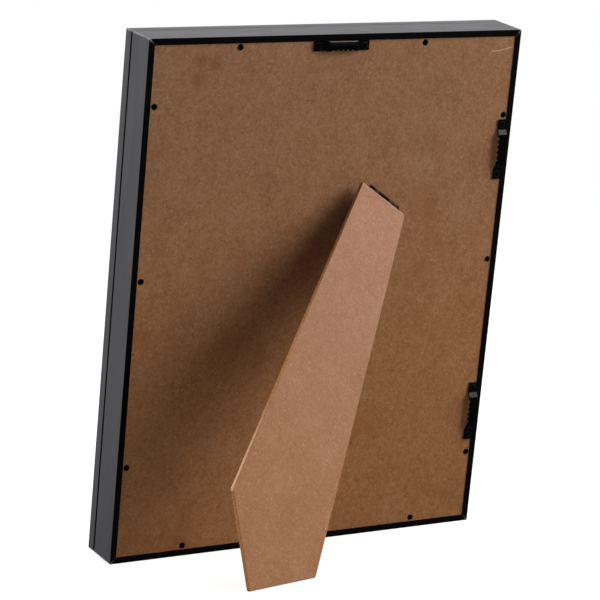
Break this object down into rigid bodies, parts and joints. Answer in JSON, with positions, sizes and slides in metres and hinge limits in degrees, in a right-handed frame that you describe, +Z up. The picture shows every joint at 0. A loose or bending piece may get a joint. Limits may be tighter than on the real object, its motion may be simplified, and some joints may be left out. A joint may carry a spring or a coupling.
{
  "type": "childrens art frame",
  "caption": "Front-opening black box frame that stores a stack of drawings behind its window, standing on a folding easel leg, with sawtooth hangers on its back.",
  "frame": {"origin": "centre of the bounding box at floor level, the frame standing in portrait on its open leg", "axes": "+Z up, -Y the side that is looked at, +X to the right as seen from the front; the frame leans back 12.5 degrees towards +Y"},
  "size_m": [0.3064, 0.1807, 0.3794],
  "materials": {
    "black_foil": "satin",
    "fibreboard": "matte",
    "leg_fibreboard": "matte",
    "black_steel": "satin",
    "zinc_steel": "satin",
    "magnet": "polished",
    "clear_sheet": "polished",
    "mat_card": "matte",
    "elastic": "matte"
  },
  "bodies": {
    "frame": {"box_rail_left": "black_foil", "box_rail_right": "black_foil", "box_rail_top": "black_foil", "box_rail_bottom": "black_foil", "back_panel": "fibreboard", "panel_screw_1": "black_steel", "panel_screw_2": "black_steel", "panel_screw_3": "black_steel", "panel_screw_4": "black_steel", "panel_screw_5": "black_steel", "panel_screw_6": "black_steel", "panel_screw_7": "black_steel", "panel_screw_8": "black_steel", "panel_screw_9": "black_steel", "panel_screw_10": "black_steel", "hanger_top": "black_steel", "hanger_side_upper": "black_steel", "hanger_side_lower": "black_steel", "hanger_top_nail_1": "black_steel", "hanger_top_nail_2": "black_steel", "hanger_side_upper_nail_1": "black_steel", "hanger_side_upper_nail_2": "black_steel", "hanger_side_lower_nail_1": "black_steel", "hanger_side_lower_nail_2": "black_steel", "easel_hinge_frame_leaf": "black_steel", "easel_hinge_pin": "black_steel", "door_hinge_upper_frame_leaf": "zinc_steel", "door_hinge_upper_pin": "zinc_steel", "door_hinge_upper_screw_1": "zinc_steel", "door_hinge_upper_screw_2": "zinc_steel", "door_hinge_lower_frame_leaf": "zinc_steel", "door_hinge_lower_pin": "zinc_steel", "door_hinge_lower_screw_1": "zinc_steel", "door_hinge_lower_screw_2": "zinc_steel", "magnet_upper": "magnet", "magnet_lower": "magnet", "corner_strap_1": "elastic", "corner_strap_2": "elastic", "corner_strap_3": "elastic", "corner_strap_4": "elastic"},
    "leg": {"easel_leg": "leg_fibreboard", "easel_hinge_leg_leaf": "black_steel"},
    "door": {"door_rail_left": "black_foil", "door_rail_right": "black_foil", "door_rail_top": "black_foil", "door_rail_bottom": "black_foil", "glazing": "clear_sheet", "mat_board": "mat_card", "retaining_tab_left": "zinc_steel", "retaining_tab_right": "zinc_steel", "retaining_tab_top": "zinc_steel", "retaining_tab_bottom": "zinc_steel", "door_hinge_upper_door_leaf": "zinc_steel", "door_hinge_upper_screw_3": "zinc_steel", "door_hinge_upper_screw_4": "zinc_steel", "door_hinge_lower_door_leaf": "zinc_steel", "door_hinge_lower_screw_3": "zinc_steel", "door_hinge_lower_screw_4": "zinc_steel", "strike_upper": "zinc_steel", "strike_lower": "zinc_steel"}
  },
  "joints": [
    {"name": "leg_fold", "type": "hinge", "parent": "frame", "child": "leg", "pos_m": [-0.04235, 0.00232, 0.25457], "axis": [-0.8231, -0.1232, -0.5543], "range_deg": [0, 25.75]},
    {"name": "door_swing", "type": "hinge", "parent": "frame", "child": "door", "pos_m": [-0.15145, -0.04089, 0.19174], "axis": [0, -0.217, -0.9762], "range_deg": [0, 180]}
  ]
}
